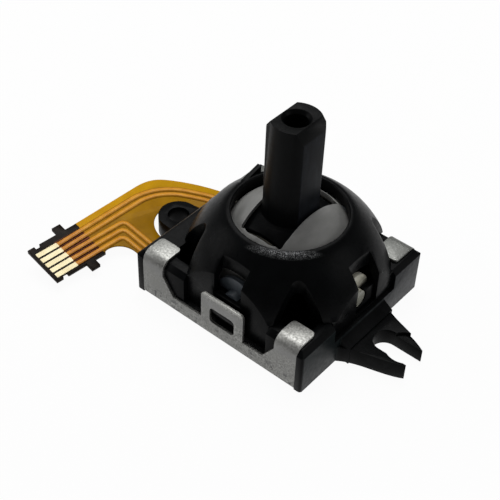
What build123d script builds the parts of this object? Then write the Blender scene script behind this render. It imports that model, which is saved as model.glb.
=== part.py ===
"""Clickable two-axis analog stick module for a handheld game controller, in millimetres.

The origin is on the underside of the module, below the stick's axis. +Z is up along the
stick at rest, +X points to the forked ear and -Y to the latched front wall of the bracket.
"""
import os
from math import cos, radians, sin, sqrt

from build123d import *

os.makedirs("parts", exist_ok=True)

# Base outline, measured from the stick's axis
base_left = 7.3
base_right = 6.35
base_front = 6.35
base_back = 6.05
base_height = 3.3
base_chamfer = 0.35
strip_left = 0.6
strip_right = 0.5
strip_corner = 0.2
cavity_half_x = 5.4
cavity_half_y = 5.15
cavity_corner = 0.8
deck_high = 0.45
deck_hole = 1.75

# Pressed steel bracket that wraps the base from below
sheet = 0.2
bend_radius = 0.6
hook_width = 1.7
hook_reach_front = 1.85
hook_reach_back = 2.25
hook_corner = 0.3
low_wall = 1.1
shoulder_top = 2.4
shoulder_run = 0.9
tab_width = 3.4
tab_top = 3.35
tab_corner = 0.3
latch_width = 2.0
latch_low = 1.15
latch_high = 2.4
latch_corner = 0.3
latch_play = 0.08

# Screw ears
ear_thickness = 1.4
ear_x = -9.1
ear_y = -0.45
ear_radius = 1.4
ear_hole = 1.5
ear_root_half = 2.1
saddle_half = 1.4
saddle_reach = 0.9
fork_thickness = 1.2
fork_x = 8.3
fork_y = -0.25
fork_slot = 1.8
fork_root_half = 2.75
fork_waist_half = 1.75
fork_side_half = 1.45
fork_tip_x = 10.35
fork_tip_half = 0.95
seat_x = 9.5
seat_y = 0.0
seat_radius = 1.3
seat_depth = 0.25
ledge_reach = 0.75
ledge_lip = 0.15
ledge_front = -2.5
ledge_back = 2.0

# Domed cover
dome_gap = 1.55
dome_wall = 0.65
dome_drop = 1.72
opening_radius = 3.7
rim_width = 0.3
rim_edge = 0.08
lip_gap = 0.18
flat_wall = 0.5
cover_gap_front = 0.3
cover_gap_back = 0.15
cover_gap_right = 0.25
leg_half = 3.3
leg_thickness = 0.3
leg_gap = 0.05
leg_low = 1.2
side_leg_half = 3.1
shelf_height = 1.85
window_half = 1.07
window_start_y = 5.05
window_start_x = 5.2
side_window_front = -0.75
side_window_back = 1.45
side_window_sill = 2.0
arch_x = 3.47
arch_y = 3.52
arch_round = 0.65
lug_height = 0.3
lug_front = 0.1
lug_back = 1.8
lug_thickness = 0.3

# Gimbal
pivot_height = 2.9
running_gap = 0.05
trunnion_radius = 0.6
trunnion_end_gap = 0.05
upper_radius = 4.8
upper_wall = 0.3
upper_slot = 3.2
upper_slot_end = 3.05
upper_slot_corner = 0.9
lobe_angle = 63.5
upper_arm = 4.8
lower_radius = 3.95
lower_wall = 0.45
lower_slot = 2.2
lower_slot_end = 2.4
lower_band = 2.4
lower_arm = 2.6
lower_drop = 0.9
shell_low = 0.9
hub_radius = 1.5
upper_hub_in = 4.7
upper_hub_out = 5.05
lower_hub_in = 4.93
lower_hub_out = 5.25
cheek_in = 1.5
cheek_out = 2.0
cheek_half = 1.3
cheek_drop = 0.8
drive_height = 1.2
drive_half = 0.18
drive_tip = 0.33

# Stick
stick_top = 13.9
shaft_diameter = 3.5
shaft_flat = 1.42
lead_in = 0.8
lead_in_depth = 0.35
cap_hole = 1.45
cap_countersink = 1.85
cap_hole_depth = 3.0
skirt_radius = 4.45
skirt_wall = 0.22
skirt_half_width = 2.3
skirt_half_length = 2.6
flare_radius = 1.85
flare_top = 7.75
stem_diameter = 1.8
stem_flat = 0.7
stem_drop = 1.25
press_pin = 0.8
press_pin_end = 0.7

# Pivot block, spring and centring foot
block_half_x = 1.3
block_half_y = 1.4
block_drop = 0.6
block_rise = 0.7
pin_radius = 0.5
pin_end = 1.95
slide_gap = 0.04
washer = 0.1
foot_low = 0.6
foot_flat = 0.8
foot_radius = 1.2
foot_flange = 1.4
flange_low = 0.95
flange_high = 1.15
foot_drop = 1.05
foot_floor = 1.0
wire = 0.18
spring_turns = 3

# Sliders that carry the wipers
slider_half = 0.9
slider_low = 0.4
slider_clear = 0.1
slider_slot_low = 0.75
slider_gap = 0.08
rail_width = 0.2
rail_high = 0.95
wiper = 0.04
wiper_lift = 0.02

# Flexible circuit
film = 0.1
copper = 0.03
tail_slope = 0.2
rise_x = -8.5
tail_x = -12.47
tail_y = -9.93
tail_lean = 4.5
tail_half = 1.525
tail_dark = 4.1
tail_tab = 0.58
tail_tab_low = 2.45
tail_tab_high = 3.15
tail_notch = 0.22
tail_notch_low = 0.55
tail_notch_high = 0.95
stiffener = 0.15
pad_pitch = 0.49
pad_width = 0.32
pad_length = 1.72
pad_start = 0.2
pad_shift = 0.2
trace_width = 0.3
flex_back = 4.75
flex_front = -4.4
flex_far = -13.46
flex_inner = -10.75
flex_fillet = 1.35
flex_arc_start = -0.7
bend_y = -3.1
shoulder_x = -9.45
shoulder_y = 4.1
crown_x = -12.35
crown_y = 2.1
trace_bend = 0.35
ear_gap = 0.3
track_width = 0.5
track_half = 1.6
snap_radius = 1.2
snap_rise = 0.1
snap_sheet = 0.04
snap_crown = 0.55

# Worked out from the sizes above
centre_x = (base_right - base_left) / 2
centre_y = (base_back - base_front) / 2
base_width = base_right + base_left
base_depth = base_back + base_front
floor = sheet + film
wall_left = -base_left + strip_left
wall_right = base_right - strip_right
face_front = -base_front + sheet
face_back = base_back - sheet
face_mid = (face_front + face_back) / 2
face_depth = face_back - face_front
shaft_radius = shaft_diameter / 2
dome_radius = upper_radius + dome_gap + dome_wall
dome_inner = dome_radius - dome_wall
dome_centre = pivot_height - dome_drop
rim_top = dome_centre + sqrt(dome_radius ** 2 - (opening_radius + rim_width) ** 2)
lip_low = pivot_height + sqrt(upper_radius ** 2 - opening_radius ** 2) + lip_gap
cheek_low = pivot_height - cheek_drop
drive_drop = pivot_height - drive_height
stem_end = pivot_height - stem_drop
block_low = pivot_height - block_drop
block_high = pivot_height + block_rise
foot_top = pivot_height - foot_drop
slider_high = pivot_height - hub_radius - slider_clear
cover_front = face_front + cover_gap_front
cover_back = face_back - cover_gap_back
cover_right = base_right - cover_gap_right
pivot = (0, 0, pivot_height)
origin = Plane.XY
upright_x = Plane(origin=pivot, x_dir=(0, 1, 0), z_dir=(1, 0, 0))
upright_y = Plane(origin=pivot, x_dir=(1, 0, 0), z_dir=(0, -1, 0))
standing = (Align.CENTER, Align.CENTER, Align.MIN)
hanging = (Align.CENTER, Align.CENTER, Align.MAX)


def facing_x(place, way=1):
    """Upright plane that faces +X, or -X where way is -1."""
    return Plane(origin=place, x_dir=(0, way, 0), z_dir=(way, 0, 0))


def facing_front(place):
    """Upright plane that faces the front, -Y."""
    return Plane(origin=place, x_dir=(1, 0, 0), z_dir=(0, -1, 0))


def save(part, name):
    """Label one finished piece and write it under its node name."""
    part.label = name
    export_step(part, f"parts/{name}.step")


def ball_layer(outer, inner):
    """Hollow ball around the gimbal's centre, as a revolved half ring."""
    with BuildPart() as layer:
        with BuildSketch(Plane.XZ.offset(0)):
            with Locations((0, pivot_height)):
                Circle(outer)
                Circle(inner, mode=Mode.SUBTRACT)
                Rectangle(outer, 2 * outer, align=(Align.MAX, Align.CENTER), mode=Mode.SUBTRACT)
        revolve(axis=Axis.Z)
    return layer.part


def double_d(diameter, flat, grow=0.0):
    """Round section with two flats that face +X and -X."""
    with BuildSketch() as section:
        Circle(diameter / 2 + grow)
        Rectangle(2 * (flat + grow), diameter + 1, mode=Mode.INTERSECT)
    return section.sketch


def hub_profile(drop):
    """Round hub disc and, where drop is set, a drive finger that hangs below it."""
    with BuildSketch() as profile:
        Circle(hub_radius)
        if drop:
            with Locations((0, -drop / 2)):
                Rectangle(2 * drive_half, drop)
            with Locations((0, -drop)):
                Circle(drive_tip)
    return profile.sketch


def make_base_frame():
    """Moulded base: a box frame open below, end strips, bearings, slider rails and two ears."""
    with BuildPart() as frame:
        with Locations((centre_x, face_mid, floor)):
            Box(base_width, face_depth, base_height - floor, align=standing)
        chamfer(frame.edges().group_by(Axis.Z)[-1], base_chamfer)
        hook_seats()
        add(end_strip(-base_left, strip_left))
        add(end_strip(base_right, -strip_right))
        with BuildSketch(origin.offset(floor)):
            RectangleRounded(2 * cavity_half_x, 2 * cavity_half_y, cavity_corner)
        extrude(amount=base_height, mode=Mode.SUBTRACT)
        leg_recesses()
        inner_deck()
        slider_rails()
        bearing_bores()
        round_ear()
        fork_ear()
        flex_notches()
    save(frame.part, "base_frame")
    return frame


def end_strip(edge, inward):
    """Full-height strip of the base beside the steel wall, chamfered like the rest of the top."""
    with BuildPart() as strip:
        with BuildSketch(facing_x((edge, centre_y, 0))):
            with BuildLine():
                half = base_depth / 2
                Polyline((-half, 0), (half, 0), (half, base_height - base_chamfer),
                         (half - base_chamfer, base_height), (base_chamfer - half, base_height),
                         (-half, base_height - base_chamfer), close=True)
            make_face()
        extrude(amount=inward)
        outer = strip.faces().sort_by(Axis.X)[0 if inward > 0 else -1]
        top = outer.edges().sort_by(Axis.Z)[-1]
        uprights = outer.edges().filter_by(Axis.Z)
        chamfer(top, base_chamfer)
        fillet(uprights, strip_corner)
    return strip.part


def hook_seats():
    """Slanted corners of the base under the bends of the steel hooks."""
    for hook_x in (wall_left, wall_right - hook_width):
        for face, inward in ((face_front, 1), (face_back, -1)):
            with BuildSketch(facing_x((hook_x, face, base_height), inward)) as seat:
                with BuildLine():
                    Polyline((0, -bend_radius), (bend_radius, 0), (0, 0), close=True)
                make_face()
            extrude(seat.sketch, amount=hook_width * inward, mode=Mode.SUBTRACT)


def bearing_bores():
    """Snap-in bearings, cut wider than half a circle and open at the top of the walls."""
    bore = trunnion_radius + running_gap
    sides = lower_trunnion_end() + trunnion_end_gap
    front, back = [end + trunnion_end_gap for end in upper_trunnion_ends()]
    for plane, ahead, behind in ((upright_x, sides, sides), (upright_y, front, back)):
        with BuildSketch(plane) as hole:
            Circle(bore)
        extrude(hole.sketch, amount=ahead, mode=Mode.SUBTRACT)
        extrude(hole.sketch, amount=-behind, mode=Mode.SUBTRACT)


def lower_trunnion_end():
    return cover_right - leg_thickness - trunnion_end_gap


def upper_trunnion_ends():
    """How far the upper rocker's pins reach to the front and to the back."""
    reach = leg_thickness + trunnion_end_gap
    return -cover_front - reach, cover_back - reach


def leg_recesses():
    """Seats for the cover's legs: pockets in the front and back walls, a shelf on the right."""
    for inner, face in ((cover_front + leg_thickness, face_front), (cover_back - leg_thickness, face_back)):
        with Locations((0, (inner + face) / 2, leg_low - leg_gap)):
            Box(2 * (leg_half + leg_gap), abs(face - inner), base_height,
                align=standing, mode=Mode.SUBTRACT)
    with Locations((cover_right - leg_thickness, 0, shelf_height)):
        Box(base_right, 2 * (side_leg_half + leg_gap), base_height,
            align=(Align.MIN, Align.CENTER, Align.MIN), mode=Mode.SUBTRACT)


def inner_deck():
    """Thin floor over the film, with room for the sliders and a round hole for the foot."""
    with BuildSketch(origin.offset(floor)) as deck:
        with Locations((-rail_x(), -cavity_half_y)):
            Rectangle(rail_x() + cavity_half_x, cavity_half_y + rail_y(), align=Align.MIN)
        Circle(deck_hole, mode=Mode.SUBTRACT)
    extrude(deck.sketch, amount=deck_high - floor)


def rail_x():
    """Inner face of the rail beside the Y slider."""
    return lower_hub_in - 2 * slider_gap - 0.15


def rail_y():
    """Inner face of the rail beside the X slider."""
    return upper_hub_in - 2 * slider_gap - 0.12


def slider_rails():
    """Low ribs across the cavity that guide the two sliders."""
    with Locations((0, rail_y() - rail_width / 2, floor)):
        Box(2 * cavity_half_x, rail_width, rail_high - floor, align=standing)
    run = rail_y() - rail_width + cavity_half_y
    with Locations((-rail_x() + rail_width / 2, -cavity_half_y + run / 2, floor)):
        Box(rail_width, run, rail_high - floor, align=standing)


def round_ear_plan(grow=0.0):
    """Outline of the ear with the round screw hole, for the ear and the film's cut-out."""
    root = ear_root_half + grow
    reach = ear_radius + grow
    with BuildSketch() as plan:
        with BuildLine():
            a = (-base_left, ear_y + root)
            b = (ear_x, ear_y + reach)
            c = (ear_x - reach, ear_y)
            d = (ear_x, ear_y - reach)
            e = (-base_left, ear_y - root)
            TangentArc(b, a, tangent=(1, 0))
            ThreePointArc(b, c, d)
            TangentArc(d, e, tangent=(1, 0))
            Line(e, a)
        make_face()
    return plan.sketch


def round_ear():
    """Ear with a round screw hole, and a sloped saddle that leads down to it from the base."""
    with BuildSketch(origin) as plan:
        add(round_ear_plan())
    extrude(plan.sketch, amount=ear_thickness)
    with BuildSketch(facing_front((-base_left, ear_y - saddle_half, 0))) as saddle:
        with BuildLine():
            Polyline((strip_left / 2, 0), (strip_left / 2, base_height - base_chamfer),
                     (0, base_height - base_chamfer), (-saddle_reach, ear_thickness),
                     (-saddle_reach, 0), close=True)
        make_face()
    extrude(saddle.sketch, amount=-2 * saddle_half)
    with Locations((ear_x, ear_y, 0)):
        Cylinder(ear_hole / 2, 4 * ear_thickness, mode=Mode.SUBTRACT)


def fork_ear():
    """Open-ended ear with pointed prongs, a shallow seat for the screw head and a sloped root."""
    root_x = base_right - 0.2
    with BuildSketch(Plane(origin=(0, fork_y, 0))) as plan:
        with BuildLine():
            side = Spline((root_x, fork_root_half), (fork_x - 0.1, fork_waist_half),
                          (fork_x + 0.9, fork_side_half), (fork_tip_x, fork_tip_half))
            Polyline(side @ 1, (fork_tip_x, 0), (root_x, 0), side @ 0)
        make_face()
        mirror(about=Plane.XZ)
        with Locations((fork_x, 0)):
            Rectangle(fork_tip_x, fork_slot, align=(Align.MIN, Align.CENTER), mode=Mode.SUBTRACT)
            Circle(fork_slot / 2, mode=Mode.SUBTRACT)
    extrude(plan.sketch, amount=fork_thickness)
    with Locations((seat_x, seat_y, fork_thickness)):
        Cylinder(seat_radius, 2 * seat_depth, mode=Mode.SUBTRACT)
    sloped_ledge()
    with Locations((fork_x, fork_y, 0)):
        Cylinder(fork_slot / 2, 4 * fork_thickness, mode=Mode.SUBTRACT)


def sloped_ledge():
    """Wedge that leads from the side shelf down to the forked ear."""
    foot = fork_thickness + ledge_lip
    with BuildSketch(facing_front((base_right - 0.2, ledge_front, 0))) as wedge:
        with BuildLine():
            Polyline((0, 0), (0, shelf_height), (0.2, shelf_height), (0.2 + ledge_reach, foot),
                     (0.2 + ledge_reach, 0), close=True)
        make_face()
    extrude(wedge.sketch, amount=ledge_front - ledge_back)


def flex_notches():
    """Two slots under the left strip where the film leaves the base, one on each side of the ear."""
    ear_edge = ear_root_half + ear_gap
    spans = ((flex_front - 0.05, ear_y - ear_edge), (ear_y + ear_edge, flex_back + 0.05))
    for low, high in spans:
        with Locations((-base_left, (low + high) / 2, sheet)):
            Box(strip_left, high - low, film + 2 * copper,
                align=(Align.MIN, Align.CENTER, Align.MIN), mode=Mode.SUBTRACT)


def wall_profile():
    """Front view of one bracket wall: hooks at the ends, a latch tab in the middle."""
    left_hook = wall_left + hook_width
    right_hook = wall_right - hook_width
    hook_base = base_height - bend_radius
    with BuildSketch() as wall:
        with BuildLine():
            Polyline(
                (wall_left, 0), (wall_right, 0), (wall_right, hook_base), (right_hook, hook_base),
                (right_hook, shoulder_top), (right_hook - shoulder_run, low_wall),
                (left_hook + shoulder_run, low_wall), (left_hook, shoulder_top),
                (left_hook, hook_base), (wall_left, hook_base), close=True,
            )
        make_face()
        with Locations((0, tab_top / 2)):
            Rectangle(tab_width, tab_top)
        corners = wall.vertices().group_by(Axis.Y)[-1]
        fillet(corners, tab_corner)
        with Locations((0, (latch_low + latch_high) / 2)):
            RectangleRounded(latch_width, latch_high - latch_low, latch_corner, mode=Mode.SUBTRACT)
    return wall.sketch


def hook_profile(reach):
    """Side view of a hook that folds over the top of the base, starting at the bend."""
    start = base_height - bend_radius
    outer = bend_radius + sheet
    with BuildSketch() as hook:
        with BuildLine():
            Line((0, start), (sheet, start))
            JernArc((sheet, start), (0, 1), bend_radius, -90)
            Line((outer, base_height), (reach, base_height))
            Line((reach, base_height), (reach, base_height + sheet))
            Line((reach, base_height + sheet), (outer, base_height + sheet))
            JernArc((outer, base_height + sheet), (-1, 0), outer, 90)
        make_face()
    return hook.sketch


def make_bracket():
    """Steel bracket: floor plate, two walls with latch tabs, and four hooks over the base."""
    with BuildPart() as bracket:
        with Locations(((wall_left + wall_right) / 2, centre_y, 0)):
            Box(wall_right - wall_left, base_depth, sheet, align=standing)
        for wall_y, inward, reach in ((-base_front, 1, hook_reach_front), (base_back, -1, hook_reach_back)):
            with BuildSketch(facing_front((0, wall_y, 0))):
                add(wall_profile())
            extrude(amount=-sheet * inward)
            for hook_x in (wall_left, wall_right - hook_width):
                with BuildSketch(facing_x((hook_x, wall_y, 0), inward)):
                    add(hook_profile(reach))
                extrude(amount=hook_width * inward)
        fillet(bracket.edges().filter_by(Axis.X).group_by(Axis.Z)[0], sheet * 0.9)
        ends = bracket.edges().filter_by(Axis.Z).group_by(Axis.Z)[-1]
        fillet([e for e in ends if e.center().Z > base_height], hook_corner)
    save(bracket.part, "bottom_bracket")
    return bracket


def make_dome():
    """Domed cover with a round gate, four windows, four corner arches and three legs."""
    with BuildPart() as dome:
        with BuildSketch(Plane.XZ):
            with Locations((0, dome_centre)):
                Circle(dome_radius)
            with Locations((0, base_height)):
                Rectangle(dome_radius, rim_top - base_height, align=(Align.MIN, Align.MIN),
                          mode=Mode.INTERSECT)
        revolve(axis=Axis.Z)
        dome_flats()
        dome_hollow()
        with Locations((0, 0, rim_top)):
            Cylinder(opening_radius, rim_top, align=hanging, mode=Mode.SUBTRACT)
        rim = dome.faces().sort_by(Axis.Z)[-1].edges()
        chamfer(rim, rim_edge)
        cover_legs()
        dome_windows()
        corner_arches()
        rim_lug()
    save(dome.part, "dome_cover")
    return dome


def dome_flats():
    """Trim the ball to the base: front, back and right sides are flat, the left stays round."""
    with Locations((cover_right, (cover_front + cover_back) / 2, 0)):
        Box(cover_right + dome_radius, cover_back - cover_front, 4 * dome_radius,
            align=(Align.MAX, Align.CENTER, Align.CENTER), mode=Mode.INTERSECT)


def dome_hollow():
    """Inside of the cover: a smaller ball with flat sides behind the flat walls."""
    with BuildPart() as hollow:
        with BuildSketch(Plane.XZ):
            with Locations((0, dome_centre)):
                Circle(dome_inner)
            with Locations((0, base_height - dome_wall)):
                Rectangle(dome_radius, lip_low - base_height + dome_wall,
                          align=(Align.MIN, Align.MIN), mode=Mode.INTERSECT)
        revolve(axis=Axis.Z)
        with Locations((cover_right - flat_wall, (cover_front + cover_back) / 2, 0)):
            Box(cover_right + dome_radius, cover_back - cover_front - 2 * flat_wall, 4 * dome_radius,
                align=(Align.MAX, Align.CENTER, Align.CENTER), mode=Mode.INTERSECT)
    add(hollow.part, mode=Mode.SUBTRACT)


def dome_windows():
    """Straight-sided windows above the four bearings; the right one runs down into its leg."""
    reach = dome_radius
    for side, edge in ((-1, Align.MAX), (1, Align.MIN)):
        with Locations((0, side * window_start_y, base_height)):
            Box(2 * window_half, reach, reach, align=(Align.CENTER, edge, Align.MIN), mode=Mode.SUBTRACT)
    with Locations((-window_start_x, 0, base_height)):
        Box(reach, 2 * window_half, reach, align=(Align.MAX, Align.CENTER, Align.MIN), mode=Mode.SUBTRACT)
    with Locations((window_start_x, side_window_front, side_window_sill)):
        Box(reach, side_window_back - side_window_front, reach,
            align=(Align.MIN, Align.MIN, Align.MIN), mode=Mode.SUBTRACT)


def corner_arches():
    """Openings that cut the four corners off the ball, square to the base, with a rounded top."""
    reach = dome_radius
    with BuildSketch(origin) as corners:
        with GridLocations(2 * arch_x + reach, 2 * arch_y + reach, 2, 2):
            RectangleRounded(reach, reach, arch_round)
    extrude(corners.sketch, amount=reach, mode=Mode.SUBTRACT)


def cover_legs():
    """Plates that continue the flat walls down into the base; two of them carry a latch nub."""
    nub_half = latch_width / 2 - latch_play
    nub_low = latch_low + latch_play
    nub_high = latch_high - latch_play
    for face, inward, wall in ((cover_front, 1, face_front), (cover_back, -1, face_back)):
        with Locations((0, face + inward * leg_thickness / 2, leg_low)):
            Box(2 * leg_half, leg_thickness, base_height - leg_low + 0.01, align=standing)
        catch = abs(wall - face) + sheet / 2
        with BuildSketch(facing_x((-nub_half, face, 0), -inward)) as nub:
            with BuildLine():
                Polyline((-0.05, nub_low), (0, nub_low), (catch, nub_high - 0.3), (catch, nub_high),
                         (-0.05, nub_high), close=True)
            make_face()
        extrude(nub.sketch, amount=-2 * nub_half * inward)
    with Locations((cover_right - leg_thickness / 2, 0, shelf_height)):
        Box(leg_thickness, 2 * side_leg_half, base_height - shelf_height + 0.01, align=standing)


def rim_lug():
    """Ramp that stands on the rim at the left and rises towards the back."""
    foot = rim_top - rim_width
    with BuildSketch(facing_x((-opening_radius - lug_thickness / 2, 0, 0))) as ramp:
        with BuildLine():
            Polyline((lug_front, foot), (lug_back, foot), (lug_back, rim_top + lug_height),
                     (lug_front, rim_top - rim_edge), close=True)
        make_face()
    extrude(ramp.sketch, amount=-lug_thickness)


def make_upper_rocker():
    """Outer rocker: two lobes with a slot along Y, arms and hubs that turn about Y."""
    with BuildPart() as rocker:
        add(ball_layer(upper_radius, upper_radius - upper_wall))
        with BuildPart(mode=Mode.INTERSECT):
            lobe_low = upper_radius * cos(radians(lobe_angle))
            with Locations((0, 0, pivot_height + lobe_low)):
                Box(3 * upper_radius, 3 * upper_radius, upper_radius, align=standing)
            with Locations((0, 0, pivot_height - shell_low / 2)):
                Box(upper_arm, 3 * upper_radius, upper_radius, align=standing)
        with BuildSketch(origin.offset(pivot_height + shell_low)):
            RectangleRounded(upper_slot, 2 * upper_slot_end, upper_slot_corner)
        extrude(amount=upper_radius, mode=Mode.SUBTRACT)
        front, back = upper_trunnion_ends()
        for side, end in ((-1, front), (1, back)):
            with BuildSketch(Plane(origin=(0, side * upper_hub_in, pivot_height), x_dir=(side, 0, 0),
                                   z_dir=(0, side, 0))):
                add(mirror_y(hub_profile(drive_drop if side > 0 else 0)))
            extrude(amount=upper_hub_out - upper_hub_in)
            with BuildSketch(Plane(origin=(0, side * upper_hub_in, pivot_height), x_dir=(1, 0, 0),
                                   z_dir=(0, side, 0))):
                Circle(trunnion_radius)
            extrude(amount=end - upper_hub_in)
    save(rocker.part, "upper_rocker")
    return rocker


def mirror_y(sketch):
    """The profile turned over, for planes whose local Y points down."""
    return mirror(sketch, about=Plane.XZ)


def make_lower_rocker():
    """Inner rocker: shell with a slot along X, cheeks for the pivot pins, hubs that turn about X."""
    with BuildPart() as rocker:
        add(ball_layer(lower_radius, lower_radius - lower_wall))
        with BuildPart(mode=Mode.INTERSECT):
            with Locations((0, 0, pivot_height + shell_low)):
                Box(3 * lower_radius, 2 * lower_band, lower_radius, align=standing)
            with Locations((0, 0, pivot_height - lower_drop)):
                Box(3 * lower_radius, lower_arm, lower_radius, align=standing)
        with Locations((0, 0, pivot_height + lower_radius)):
            Box(2 * lower_slot_end, lower_slot, lower_radius, mode=Mode.SUBTRACT)
        shell_middle = lower_radius - lower_wall / 2
        cheek_top = pivot_height + sqrt(shell_middle ** 2 - cheek_out ** 2 - cheek_half ** 2)
        for side in (-1, 1):
            with Locations((0, side * (cheek_in + cheek_out) / 2, cheek_low)):
                Box(2 * cheek_half, cheek_out - cheek_in, cheek_top - cheek_low, align=standing)
        with BuildSketch(upright_y):
            Circle(pin_radius + running_gap)
        extrude(amount=cheek_out + 0.2, both=True, mode=Mode.SUBTRACT)
        for side in (-1, 1):
            with BuildSketch(facing_x((side * lower_hub_in, 0, pivot_height), side)):
                add(hub_profile(drive_drop if side < 0 else 0))
            extrude(amount=lower_hub_out - lower_hub_in)
            neck = lower_radius - lower_wall
            with BuildSketch(facing_x((side * neck, 0, pivot_height), side)):
                Circle(trunnion_radius)
            extrude(amount=lower_trunnion_end() - neck)
    save(rocker.part, "lower_rocker")
    return rocker


def make_stick():
    """Black stick: shaft with two flats, curved square skirt, keyed stem and switch pin."""
    with BuildPart() as stick:
        with BuildPart(mode=Mode.ADD):
            add(ball_layer(skirt_radius, skirt_radius - skirt_wall))
            with BuildPart(mode=Mode.INTERSECT):
                with Locations((0, 0, pivot_height + shell_low)):
                    Box(2 * skirt_half_width, 2 * skirt_half_length, skirt_radius, align=standing)
        with BuildPart(mode=Mode.ADD):
            flare_low = pivot_height + sqrt((skirt_radius - skirt_wall / 2) ** 2 - flare_radius ** 2)
            with Locations((0, 0, flare_low)):
                Cone(flare_radius, shaft_radius, flare_top - flare_low, align=standing)
            with Locations((0, 0, flare_top)):
                Box(2 * shaft_flat, 3 * flare_radius, 2 * skirt_radius, mode=Mode.INTERSECT)
            with Locations(pivot):
                Sphere(skirt_radius - skirt_wall, mode=Mode.SUBTRACT)
        with BuildSketch(origin.offset(pivot_height + skirt_radius - skirt_wall)):
            add(double_d(shaft_diameter, shaft_flat))
        extrude(amount=stick_top - pivot_height - skirt_radius + skirt_wall)
        with BuildSketch(origin.offset(stem_end)):
            add(double_d(stem_diameter, stem_flat))
        extrude(amount=pivot_height + skirt_radius - skirt_wall / 2 - stem_end)
        with Locations((0, 0, press_pin_end)):
            Cylinder(press_pin / 2, stem_end - press_pin_end + 0.1, align=standing)
        shaft_lead_ins()
        with Locations((0, 0, stick_top)):
            CounterSinkHole(cap_hole / 2, cap_countersink / 2, cap_hole_depth)
    save(stick.part, "stick_shaft")
    return stick


def shaft_lead_ins():
    """Steep chamfers at the top of the two flats."""
    for side in (-1, 1):
        with BuildSketch(Plane.XZ) as wedge:
            with BuildLine():
                Polyline((side * shaft_flat, stick_top - lead_in),
                         (side * (shaft_flat - lead_in_depth), stick_top),
                         (side * (shaft_flat + 1), stick_top),
                         (side * (shaft_flat + 1), stick_top - lead_in), close=True)
            make_face()
        extrude(wedge.sketch, amount=shaft_diameter, both=True, mode=Mode.SUBTRACT)


def make_pivot_block():
    """Block that the stem slides in, keyed by its flats, with two pins in the lower rocker."""
    with BuildPart() as block:
        with Locations((0, 0, block_low)):
            Box(2 * block_half_x, 2 * block_half_y, block_high - block_low, align=standing)
        chamfer(block.edges().filter_by(Axis.Z), 0.2)
        with BuildSketch(upright_y):
            Circle(pin_radius)
        extrude(amount=pin_end, both=True)
        with BuildSketch(origin.offset(block_low)):
            add(double_d(stem_diameter, stem_flat, slide_gap))
        extrude(amount=block_high, mode=Mode.SUBTRACT)
    save(block.part, "pivot_block")
    return block


def make_spring_washer():
    """Steel washer between the spring and the pivot block."""
    with BuildPart() as ring:
        with BuildSketch(origin.offset(block_low - washer)):
            Circle(foot_flange)
            Circle(stem_diameter / 2 + slide_gap, mode=Mode.SUBTRACT)
        extrude(amount=washer)
    save(ring.part, "spring_washer")
    return ring


def make_return_spring():
    """Small compression spring around the foot's cup."""
    height = block_low - washer - flange_high
    coil = foot_flange - wire / 2
    with BuildPart() as spring:
        with BuildLine():
            turns = Helix((height - wire) / spring_turns, height - wire, coil,
                          center=(0, 0, flange_high + wire / 2))
        with BuildSketch(Plane(origin=turns @ 0, z_dir=turns % 0)):
            RegularPolygon(wire / 2, 6)
        sweep()
    save(spring.part, "return_spring")
    return spring


def make_centring_foot():
    """Foot that the spring pushes towards the floor, with a cup for the end of the stem."""
    bore = stem_diameter / 2 + slide_gap
    hole = press_pin / 2 + running_gap
    with BuildPart() as foot:
        with BuildSketch(Plane.XZ):
            with BuildLine():
                Polyline(
                    (hole, foot_low), (foot_flat, foot_low), (foot_radius, foot_low + 0.2),
                    (foot_radius, flange_low), (foot_flange, flange_low), (foot_flange, flange_high),
                    (foot_radius - 0.05, flange_high), (foot_radius - 0.05, foot_top), (bore, foot_top),
                    (bore, foot_floor), (hole, foot_floor), close=True,
                )
            make_face()
        revolve(axis=Axis.Z)
    save(foot.part, "centring_foot")
    return foot


def slider_block(length, depth, name, plane):
    """Slider with a fork slot for a drive finger; its travel runs along the plane's X."""
    with BuildPart() as slider:
        with BuildSketch(plane):
            with BuildLine():
                slot = drive_tip + 0.04
                Polyline(
                    (-length, slider_low), (length, slider_low), (length, slider_high), (slot, slider_high),
                    (slot, slider_slot_low), (-slot, slider_slot_low), (-slot, slider_high),
                    (-length, slider_high), close=True,
                )
            make_face()
        extrude(amount=depth)
    save(slider.part, name)
    return slider


def make_sliders():
    """The two sliders and the spring wipers under them."""
    x_in = rail_y() + slider_gap
    x_out = cavity_half_y - slider_gap
    slider_block(slider_half, x_out - x_in, "x_slider", facing_front((0, x_out, 0)))
    y_in = rail_x() + slider_gap
    y_out = cavity_half_x - slider_gap
    slider_block(slider_half, y_out - y_in, "y_slider", facing_x((-y_out, 0, 0)))
    for name, place, size in (
        ("x_wiper", (0, (x_in + x_out) / 2), (2 * slider_half - 0.2, x_out - x_in - 0.2)),
        ("y_wiper", (-(y_in + y_out) / 2, 0), (y_out - y_in - 0.2, 2 * slider_half - 0.2)),
    ):
        wiper_leaf(name, place, size)


def wiper_leaf(name, place, size):
    """Thin sprung contact with two raised dimples turned to the track."""
    with BuildPart() as leaf:
        with BuildSketch(origin.offset(slider_low - wiper)):
            with Locations(place):
                Rectangle(*size)
        extrude(amount=wiper)
        long_x = size[0] > size[1]
        step = max(size) / 2 - 0.25
        spots = [(place[0] + s * step * long_x, place[1] + s * step * (not long_x)) for s in (-1, 1)]
        with BuildSketch(origin.offset(floor + copper / 2 + wiper_lift)):
            with Locations(*spots):
                Circle(0.12)
        extrude(amount=slider_low - wiper - floor - copper / 2 - wiper_lift)
    save(leaf.part, name)


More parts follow.
